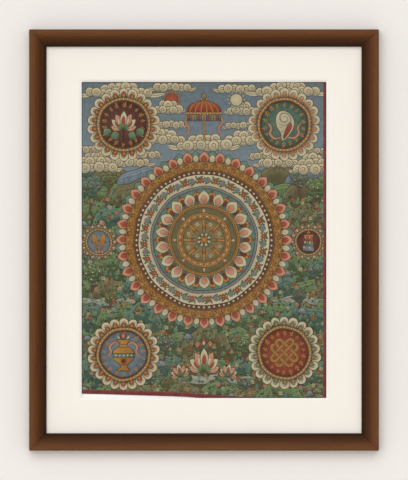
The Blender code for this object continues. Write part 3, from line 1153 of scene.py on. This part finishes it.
for pigment, foot, top, light in (
    ("azurite", HORIZON - 40, PAGE_TOP, (1.0, 0.25)),
    ("malachite", PAGE_FOOT, HORIZON - 40, (0.2, 0.5)),
):
    page = [(PAGE_LEFT, foot), (PAGE_RIGHT, foot), (PAGE_RIGHT, top), (PAGE_LEFT, top)]
    fill(painting, pigment, page, 0, light)
for level, (base, *pigments) in enumerate((
    (HORIZON + 24, "verdigris", "olive_earth", "azurite"),
    (HORIZON, "verdigris", "malachite", "olive_earth"),
    (34, "malachite", "verdigris", "olive_earth"),
    (0, "olive_earth", "malachite"),
    (-36, "malachite", "verdigris"),
    (-74, "malachite", "olive_earth", "verdigris"),
    (-90,),
    (-112, "verdigris", "malachite"),
    (-150, "malachite", "olive_earth"),
    (-190, "malachite", "verdigris", "olive_earth"),
    (-202,),
    (-230, "malachite", "olive_earth"),
)):
    coat = 0.3 + level * 1.3
    if pigments:
        hill_row(painting, base, pigments, coat, 11 + level)
    elif base > -150:
        stream(painting, base, PAGE_LEFT, -96, coat, 5)
        stream(painting, base + 2, 98, PAGE_RIGHT, coat, 8)
    else:
        stream(painting, base, -76, 78, coat, 3)

meadow = [(-182, -226), (176, -236), (176, 60), (-182, 60)]
for motif, spacing, seed in (
    (grass_tuft("ink", 0.6), 8.5, 21),
    (grass_tuft("verdigris", 0.0), 8, 25),
    (grass_tuft("olive_earth", 1.1), 8, 22),
    (sprig("malachite", 8, (0.6, 1.4)), 12, 26),
    (sprig("verdigris", 7, (0.5, 1.3)), 15, 27),
    (leafy_rock(1), 50, 28),
    (leafy_rock(2), 44, 29),
    (small_flower("salmon"), 21, 23),
    (small_flower("chalk"), 25, 24),
    (small_flower("cinnabar"), 27, 30),
):
    strew(painting, motif, spacing, meadow, 15.9 + (seed - 20) * 0.25, seed)

for place, (x, z, width, rows, lobe, seed) in enumerate((
    (-124, 214, 84, 2, 7, 31), (122, 216, 80, 2, 7, 32), (-46, 222, 44, 1, 6, 33),
    (48, 220, 44, 1, 6, 34), (-158, 106, 50, 3, 7, 35), (158, 103, 44, 3, 7, 36),
    (-60, 146, 52, 2, 7, 37), (62, 145, 50, 2, 7, 38), (0, 138, 66, 2, 7.5, 39),
    (-108, 112, 46, 2, 6, 50), (108, 112, 46, 2, 6, 51), (-52, 190, 30, 2, 6, 52), (54, 188, 30, 2, 6, 53),
    (-48, 168, 30, 1, 5, 57), (50, 166, 30, 1, 5, 58), (84, 122, 26, 1, 5, 60), (-82, 124, 26, 1, 5, 59),
    (-168, 132, 22, 1, 5, 62), (168, 130, 22, 1, 5, 63),
)):
    stamp(painting, cloud_bank(width, rows, lobe, seed), (x, z), 7 + place % 3 * 6)

for x, z, height, leaf, blossom, seed in (
    (-166, 44, 44, "verdigris", "salmon", 41), (164, 42, 44, "malachite", "chalk", 42),
    (-139, 62, 34, "malachite", "cinnabar", 43), (138, 62, 34, "verdigris", "salmon", 44),
    (-164, -78, 40, "malachite", "chalk", 45), (163, -76, 42, "verdigris", "salmon", 46),
    (-58, -178, 36, "verdigris", "salmon", 47), (58, -180, 36, "malachite", "chalk", 48),
    (-136, -104, 26, "malachite", "salmon", 49), (138, -102, 26, "verdigris", "cinnabar", 54),
    (-55, -228, 26, "malachite", "cinnabar", 55), (58, -230, 26, "verdigris", "salmon", 56),
):
    stamp(painting, small_tree(height, leaf, blossom, seed), (x, z), 16.4)


# Middle wheel: rings of petals and borders about an eight-spoked wheel, laid coat over coat. It
# takes up almost three quarters of the painting's width.

middle = {}
band(middle, "ink", 0, 116, 0)
ring_of(middle, lotus_petal("verdigris", 20, 17, "chalk"), 32, 110, 0.4, first=0.5, seed=2)
ring_of(middle, lotus_petal("salmon", 20, 15, "cinnabar"), 32, 109, 1.4, seed=3)
band(middle, "ochre", 101, 114, 2.4, (0.15, 0.95))
edge_lines(middle, (101, 102.6, 112.4, 114), 2.8, 0.8)
ring_of(middle, scroll(13), 50, 107.2, 2.8, seed=4, uneven_by=0.1)
band(middle, "lac", 95.5, 101, 2.4, (0.3, 0.7))
ring_of(middle, pearl("chalk", 1.6), 84, 98.2, 2.8, seed=5)
band(middle, "chalk", 78, 95.5, 2.4, (0.5, 1.0))
ring_of(middle, vine(22.7, 4.2), 24, 86.8, 2.8, seed=10, uneven_by=0.01)
band(middle, "azurite", 74, 78, 2.4, (0.2, 0.8))
edge_lines(middle, (74, 78, 95.5), 4.8, 0.9)
ring_of(middle, pearl("salmon", 1.0), 60, 76, 4.8, seed=11)
band(middle, "verdigris", 0, 74, 2.4, (0.0, 0.7))
ring_of(middle, lotus_petal("ochre", 19, 13, "lac"), 18, 53, 2.8, first=0.5, seed=6)
ring_of(middle, lotus_petal("chalk", 23, 17, "salmon"), 18, 49, 3.8, seed=7)
ring_of(middle, pearl("cinnabar", 1.5), 18, 70.5, 2.8, first=0.5, seed=12)
band(middle, "ochre", 47.5, 52, 4.8, (0.3, 0.9))
band(middle, "olive_earth", 0, 47.5, 4.8, (1.0, 0.3))
edge_lines(middle, (47.5, 49.7, 52), 5.2, 0.8)
stamp(middle, dharma_wheel(), (0, 0), 5.6, size=0.9)
stamp(painting, middle, (0, 0), 24)


# Corner wheels and side wheels: a scalloped cloud edge or a petal edge, thin coloured rings,
# and a sign on a plain ground.


def corner_wheel(ground, rim, sign, seed):
    """A round panel in a cloud border, with the sign at its middle."""
    panel = {}
    scallop = curled_lobe(6.6, 240, 1)
    ring_of(panel, scallop, 11, 46, 0, seed=seed, uneven_by=0.07)
    ring_of(panel, scallop, 11, 46, 0.9, first=0.5, seed=seed + 4, uneven_by=0.07)
    ring_of(panel, lotus_petal(rim, 9, 8, "ochre", 0.7), 22, 38, 1.8, seed=seed + 1)
    band(panel, "ochre", 35, 39.5, 2.8, (0.3, 0.9))
    ring_of(panel, pearl("chalk", 1.1), 44, 37.2, 3.2, seed=seed + 2)
    band(panel, "lac", 33, 35, 2.8, (0.5, 0.5))
    band(panel, ground, 0, 33, 2.8, (0.9, 0.0))
    edge_lines(panel, (33, 35, 39.5), 3.6, 0.8)
    ring_of(panel, sprig("ochre", 7, (0.4, 0.9)), 18, 24.5, 3.2, seed=seed + 3, uneven_by=0.2)
    stamp(panel, sign, (0, 0), 4)
    return panel


def raised_lotus():
    """A lotus bloom above round leaves."""
    raised = {}
    stroke(raised, "ink", [(0, -28), (0, -15), (0, -8)], 0, 2.6, ends=1)
    leaf = lotus_petal("malachite", 15, 12, "verdigris", 0.7)
    for coat, x, z, turn in ((0.3, 19, -17, 0.7), (1.3, 10, -24, 0.3)):
        for side in (-1, 1):
            stamp(raised, leaf, (side * x, z), coat, side * turn)
    stamp(raised, lotus_bloom(1.15), (0, -7), 2.3)
    return raised


for x, z, ground, rim, sign, seed in (
    (-117, 168, "lac", "cinnabar", raised_lotus(), 61),
    (117, 168, "verdigris", "salmon", conch_shell(), 67),
    (-117, -166, "azurite", "cinnabar", treasure_vase(), 73),
    (117, -164, "cinnabar", "verdigris", endless_knot(), 79),
):
    stamp(painting, corner_wheel(ground, rim, sign, seed), (x, z), 27)

for x, sign, ground, seed in ((-153, golden_fish(), "azurite", 85), (152, victory_banner(), "lac", 89)):
    side = {}
    ring_of(side, lotus_petal("salmon", 8, 8, "chalk", 0.7), 16, 18, 0, seed=seed)
    ring_of(side, lotus_petal("verdigris", 7, 7, "ochre", 0.7), 16, 17, 1, first=0.5, seed=seed + 1)
    band(side, "ochre", 16.5, 20, 2, (0.3, 0.9))
    band(side, ground, 0, 16.5, 2, (0.9, 0.2))
    edge_lines(side, (16.5, 20), 2.4, 0.8)
    ring_of(side, pearl("chalk", 0.9), 26, 18.3, 2.8, seed=seed + 2)
    stamp(side, sign, (0, -1), 3, size=0.72)
    stamp(painting, side, (x, -3), 20)

stamp(painting, parasol(), (0, 178), 27, size=0.86)
for x, disc in ((-47, "cinnabar"), (47, "chalk")):
    halo = {}
    ring_of(halo, lotus_petal("ochre" if disc == "cinnabar" else "water_blue", 5, 4, line=0.5), 12, 8.5, 0)
    stamp(halo, pearl(disc, 8.5, 24), (0, 0), 1)
    stamp(painting, halo, (x, 204), 17)

for side in (-1, 1):
    stamp(painting, lotus_petal("verdigris", 20, 13, "malachite"), (side * 16, -203), 20, side * 1.25)
    stamp(painting, lotus_bloom(0.8), (side * 34, -199), 21, side * 0.2)
stamp(painting, lotus_bloom(1.35), (0, -190), 21)
for i, x in enumerate((-9, 9, 0)):
    jewel = lotus_petal("ochre" if x else "cinnabar", 12, 8, "salmon" if x else "chalk")
    stamp(painting, jewel, (x, -156 - abs(x) * 0.3), 24 + i)


# The painter's hand leaves no line quite true, so the whole design wavers a little. It is then
# trimmed to the cloth's edges, and each pigment becomes one piece on the cloth.

HAND_WAVES = ((0.60, 62, 0.4, 1.0), (0.30, 31, 2.1, 4.2), (0.10, 13, 5.0, 3.1))
PAINT_INSET = 0.2 * MM
CUT_SLACK = 1e-7
SLIVER_AREA = 1e-10


def wavered(points):
    """Moves points by a smooth drift of up to a millimetre."""
    moved = points.copy()
    for reach, length, first, second in HAND_WAVES:
        across, up = (points[:, axis] * math.tau / (length * MM) for axis in (0, 2))
        moved[:, 0] += reach * MM * np.sin(up + first) * np.cos(across * 0.7 + second)
        moved[:, 2] += reach * MM * np.sin(across + second) * np.cos(up * 0.8 + first)
    return moved


def cut_away(work, faces, spot, outwards):
    """Cuts the faces along a plane and gives the faces that lie past it."""
    edges = {edge for face in faces for edge in face.edges}
    points = {point for face in faces for point in face.verts}
    cut = [*faces, *edges, *points]
    bmesh.ops.bisect_plane(work, geom=cut, dist=CUT_SLACK, plane_co=spot, plane_no=outwards)
    return [face for face in work.faces if (face.calc_center_median() - spot).dot(outwards) > CUT_SLACK]


def faces_at_hem(work):
    """The faces that reach down to the hem's height."""
    hem_top = max(z for _, z in hem_points)
    return [face for face in work.faces if min(point.co.z for point in face.verts) < hem_top]


def trimmed(mesh):
    """Cuts the flat paint back to the cloth's outline and turns every face to the viewer."""
    work = bmesh.new()
    work.from_mesh(mesh)
    for spot, outwards in (
        (Vector((cloth_high.x - PAINT_INSET, 0, 0)), Vector((1, 0, 0))),
        (Vector((cloth_low.x + PAINT_INSET, 0, 0)), Vector((-1, 0, 0))),
        (Vector((0, 0, cloth_high.z - PAINT_INSET)), Vector((0, 0, 1))),
    ):
        past = cut_away(work, work.faces[:], spot, outwards)
        bmesh.ops.delete(work, geom=past, context="FACES")
    for x, _ in hem_points[1:-1]:
        cut_away(work, faces_at_hem(work), Vector((x, 0, 0)), Vector((1, 0, 0)))
    for (x, z), (next_x, next_z) in zip(hem_points, hem_points[1:]):
        column = [face for face in faces_at_hem(work) if x < face.calc_center_median().x < next_x]
        slope = Vector((next_x - x, 0, next_z - z)).normalized()
        past = cut_away(work, column, Vector((x, 0, z)), Vector((slope.z, 0, -slope.x)))
        past = [face for face in past if x < face.calc_center_median().x < next_x]
        bmesh.ops.delete(work, geom=past, context="FACES")
    bmesh.ops.triangulate(work, faces=work.faces[:])
    slivers = [face for face in work.faces if face.calc_area() < SLIVER_AREA]
    bmesh.ops.delete(work, geom=slivers, context="FACES")
    for face in work.faces:
        face.normal_update()
        if face.normal.y > 0:
            face.normal_flip()
    work.to_mesh(mesh)
    work.free()


for pigment, part in painting.items():
    points = wavered(np.array(part["points"]))
    points[:, 1] += cloth_low.y - COAT
    points[:, 2] += picture_z
    part["points"] = points.tolist()
    mesh = flat_mesh(f"paint_{pigment}", part)
    trimmed(mesh)
    flat_map = mesh.uv_layers.new(name="OFBake")
    corners = np.array([mesh.vertices[loop.vertex_index].co for loop in mesh.loops])
    across = (corners[:, 0] - cloth_low.x) / (cloth_high.x - cloth_low.x)
    upwards = (corners[:, 2] - cloth_low.z) / (cloth_high.z - cloth_low.z)
    flat_map.uv.foreach_set("vector", np.stack([across, upwards], 1).astype(np.float32).ravel())
    laid = linked_object(f"paint_{pigment}", mesh)
    paint_with(laid, paint_materials[pigment])
    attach(laid, "root")


# Edge strips: a narrow strip of red cotton, folded and sewn along the right and the lower edge
# of the cloth. It laps a little over the paint, and a running stitch shows beside the fold.

STRIP_LAP = 0.7 * MM
STRIP_PROUD = 0.28 * MM
SEAM_INSET = 1.1 * MM
STITCH_LENGTH = 2.6 * MM
STITCH_PITCH = 4.2 * MM
STITCH_WIDTH = 0.6 * MM
DYE_FADE = 9 * MM
THREAD_WEAR = 1.2 * MM


def red_cotton():
    """Plain-woven cotton dyed dark red, a little faded, with painted highlights on the raised
    threads and painted shade between them.
    """
    material, tree, place = new_material("dyed plain-woven cotton", roughness=0.85, specular=0.15)
    tree.nodes["Principled BSDF"].inputs["Sheen Weight"].default_value = 0.15
    fade, _ = varied(tree, place, DYE_FADE, 0.72, 1.22)
    threads = weave_height(tree, place)
    # The weave's height paints the raised threads lighter and the hollows darker: painted highlight and
    # shade.
    shine = {"Value": threads, "From Max": 2.0, "To Min": 0.82, "To Max": 1.15}
    lit = node(tree, "ShaderNodeMapRange", shine).outputs["Result"]
    dyed = clouded(tree, colour("#723735"), fade, lit)
    # Beside the window the strip is darkened by the painted shadow of the mat's lip.
    finish(tree, painted_mat_shadow_edge(tree, place, dyed), threads, 0.6, 0.12 * MM)
    return material


def cotton_thread():
    """Twisted cotton sewing thread, a shade lighter than the strip."""
    material, tree, place = new_material("twisted cotton thread", roughness=0.8, specular=0.2)
    worn, height = varied(tree, place, THREAD_WEAR, 0.75, 1.2)
    finish(tree, clouded(tree, colour("#9a5650"), worn), height, 0.4, 0.05 * MM)
    return material


def joined_rings(name, rings):
    """A closed solid from rings of points, each joined to the next, with its ends filled."""
    around = len(rings[0])
    points = [point for ring in rings for point in ring]
    faces = []
    for start in range(0, len(points) - around, around):
        for side in range(around):
            here, beside = start + side, start + (side + 1) % around
            faces.append((here, beside, beside + around, here + around))
    faces += [tuple(range(around)), tuple(range(len(points) - around, len(points)))]
    made = shaped(name, points, faces)
    work = bmesh.new()
    work.from_mesh(made.data)
    bmesh.ops.recalc_face_normals(work, faces=work.faces)
    work.to_mesh(made.data)
    work.free()
    return made


def strip_sections(name):
    """Where the strip's inner and outer edges run, as pairs of (x, z) points."""
    low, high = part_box(name)
    if name == "edge_strip_right":
        return [((low.x - STRIP_LAP, z), (high.x, z)) for z in np.linspace(low.z, high.z, 61)]
    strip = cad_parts[name]
    lower = sorted({(round(v.co.x, 5), round(v.co.z, 5)) for v in strip.data.vertices})
    spots = sorted({x for x, _ in lower})
    feet = [min(z for x, z in lower if x == spot) for spot in spots]
    return [((x, hem_height(x) + STRIP_LAP), (x, foot)) for x, foot in zip(spots, feet)]


def sewn_strip(name):
    """The folded strip: a soft-edged band whose inner edge laps over the painted cloth."""
    low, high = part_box(name)
    front = low.y - STRIP_PROUD
    lap_back = cloth_low.y - 0.14 * MM
    profile = (
        (0.00, lap_back),
        (0.05, front),
        (0.90, front),
        (1.00, front + 0.35 * MM),
        (1.00, high.y - 0.3 * MM),
        (0.94, high.y),
        (0.20, high.y),
        (0.20, lap_back),
    )
    rings = [
        [
            (inner_x + (outer_x - inner_x) * along, depth, inner_z + (outer_z - inner_z) * along)
            for along, depth in profile
        ]
        for (inner_x, inner_z), (outer_x, outer_z) in strip_sections(name)
    ]
    return joined_rings(f"sewn_{name}", rings)


def running_stitch():
    """One stitch: a short thread that dips into the cloth at both ends."""
    rows, sides = 5, 6
    turns = [math.tau * side / sides for side in range(sides)]
    rings = []
    for row in range(rows):
        along = row / (rows - 1)
        bow = math.sin(math.pi * along)
        radius = STITCH_WIDTH / 2 * (0.45 + 0.55 * bow)
        x, y = (along - 0.5) * STITCH_LENGTH, -0.2 * MM * bow
        rings.append([(x, y + 0.7 * radius * math.sin(turn), radius * math.cos(turn)) for turn in turns])
    return joined_rings("stitch", rings)


def seam_points(name):
    """The seam as (x, z) points beside the strip's inner edge, as far as the window shows it."""
    inner = [pair[0] for pair in strip_sections(name)]
    if name == "edge_strip_right":
        reach = window_half_height - 2 * MM
        return [(x + SEAM_INSET, z) for x, z in inner if abs(z - picture_z) < reach]
    left, right = -window_half_width + 2 * MM, window_half_width - 6 * MM
    foot = picture_z - window_half_height + 1 * MM
    return [(x, z - SEAM_INSET) for x, z in inner if left < x < right and z - SEAM_INSET > foot]


dyed_cotton = red_cotton()
thread = cotton_thread()
stitch = running_stitch()
paint_with(stitch, thread)
strip_pieces = []
for name in ("edge_strip_right", "edge_strip_bottom"):
    strip = sewn_strip(name)
    paint_with(strip, dyed_cotton)
    strip.data.shade_smooth()
    strip.data.set_sharp_from_angle(angle=math.radians(50))
    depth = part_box(name)[0].y - STRIP_PROUD
    seam = [(x, depth, z) for x, z in seam_points(name)]
    line = shaped("seam", seam, edges=[(i, i + 1) for i in range(len(seam) - 1)])
    sewing = grown(ROW, {
        "Motif": stitch, "Pigment": thread, "Line": line, "Spacing": STITCH_PITCH,
        "Unevenness": 0.06, "Seed": 5, "Size": 1.0,
    })
    bpy.data.objects.remove(line)
    stitches = linked_object(f"stitches_{name.split('_')[-1]}", sewing)
    for piece in (strip, stitches):
        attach(piece, "root")
    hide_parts(name)
    strip_pieces += [strip, stitches]
bpy.data.objects.remove(stitch)


# Room: a pale wall that the frame hangs on, seen from its front alone, and a pale floor far
# below. The light is an even, soft one with a large key from the upper left.

WALL_GAP = 0.4 * MM
WALL_REACH = 3.0
FLOOR_DROP = 0.95
BEHIND_RAIL = 2 * MM
MITRE_COVER = 1.5 * MM
MITRE_REACH = 18 * MM


def plain_stage(name, points, faces, code, one_sided=False):
    """A flat stage surface. A one-sided one can be looked through from behind."""
    made = shaped(name, points, faces)
    material, tree, place = new_material(name, roughness=0.95, specular=0.05)
    surface = tree.nodes["Principled BSDF"]
    even, _ = varied(tree, place, 0.4, 0.995, 1.005)
    tree.links.new(clouded(tree, colour(code), even), surface.inputs["Base Color"])
    if one_sided:
        behind = node(tree, "ShaderNodeNewGeometry").outputs["Backfacing"]
        clear = node(tree, "ShaderNodeBsdfTransparent")
        both = node(tree, "ShaderNodeMixShader", {0: behind, 1: surface, 2: clear})
        tree.links.new(both.outputs[0], tree.nodes["Material Output"].inputs["Surface"])
    paint_with(made, material)


# The wall is left open behind the frame, so that light reaches the frame's back in a view
# from behind. A narrow strip stays behind each mitre, or light would shine through its seam.
wall_y = cad_high.y + WALL_GAP
floor_z = cad_low.z - FLOOR_DROP
strip_corners = (
    (0, 0),
    (MITRE_COVER, 0),
    (MITRE_REACH, MITRE_REACH - MITRE_COVER),
    (MITRE_REACH - MITRE_COVER, MITRE_REACH),
    (0, MITRE_COVER),
)
wall_points, wall_faces = [], []
for place, (side, level) in enumerate(((-1, -1), (1, -1), (1, 1), (-1, 1))):
    x = side * (cad_high.x - BEHIND_RAIL)
    z = cad_high.z - BEHIND_RAIL if level > 0 else cad_low.z + BEHIND_RAIL
    wall_points.append((side * WALL_REACH, wall_y, WALL_REACH if level > 0 else floor_z))
    wall_points += [(x - side * across, wall_y, z - level * up) for across, up in strip_corners]
    first = place * 6
    after = (first + 6) % 24
    wall_faces.append((first, after, after + 1, first + 1))
    strip = tuple(first + 1 + corner for corner in range(5))
    wall_faces.append(strip if side == level else strip[::-1])
plain_stage("plaster wall", wall_points, wall_faces, "#eeebe8", one_sided=True)
floor_points = [
    (-WALL_REACH, -WALL_REACH * 2, floor_z), (WALL_REACH, -WALL_REACH * 2, floor_z),
    (WALL_REACH, wall_y, floor_z), (-WALL_REACH, wall_y, floor_z),
]
plain_stage("pale floor", floor_points, [(0, 1, 2, 3)], "#e6e1da")

# The surroundings light the part at AMBIENT, and the camera sees them at BACKGROUND.
AMBIENT = 0.62
BACKGROUND = 0.80
world = bpy.data.worlds.new("studio")
bpy.context.scene.world = world
world.use_nodes = True
background = world.node_tree.nodes["Background"]
background.inputs["Color"].default_value = colour("#fffdfb")
seen = node(world.node_tree, "ShaderNodeLightPath").outputs["Is Camera Ray"]
levels = {"Value": seen, "To Min": AMBIENT, "To Max": BACKGROUND}
strength = node(world.node_tree, "ShaderNodeMapRange", levels).outputs["Result"]
world.node_tree.links.new(strength, background.inputs["Strength"])

# The key alone would show the wall at KEY_SHARE of its own brightness.
KEY_SHARE = 0.42
KEY_FROM = Vector((-0.12, -1.0, 0.34)).normalized()
key_data = bpy.data.lights.new("key", "SUN")
key_data.angle = math.radians(52)
key_data.energy = KEY_SHARE * math.pi / -KEY_FROM.y
key = bpy.data.objects.new("key", key_data)
bpy.context.scene.collection.objects.link(key)
key.rotation_euler = KEY_FROM.to_track_quat("Z", "Y").to_euler()


# Camera: square on to the middle of the picture, from far enough away that it looks flat. The
# photograph shows the frame's face at about 1.45 mm a pixel and is 480 pixels high.

PIXEL_SIZE = 1.4525 * MM
PHOTO_HEIGHT = 480
LENS, SENSOR = 400, 36
face_depth = cad_low.y + 3 * MM
distance = PIXEL_SIZE * PHOTO_HEIGHT / 2 * LENS / (SENSOR / 2)
camera_data = bpy.data.cameras.new("camera")
camera_data.lens = LENS
camera_data.sensor_width = SENSOR
camera_data.clip_start = 0.05
camera_data.clip_end = 50
camera = bpy.data.objects.new("camera", camera_data)
bpy.context.scene.collection.objects.link(camera)
camera.location = (0, face_depth - distance, picture_z)
camera.rotation_euler = (math.pi / 2, 0, 0)
bpy.context.scene.camera = camera
bpy.context.scene.view_settings.view_transform = "Standard"
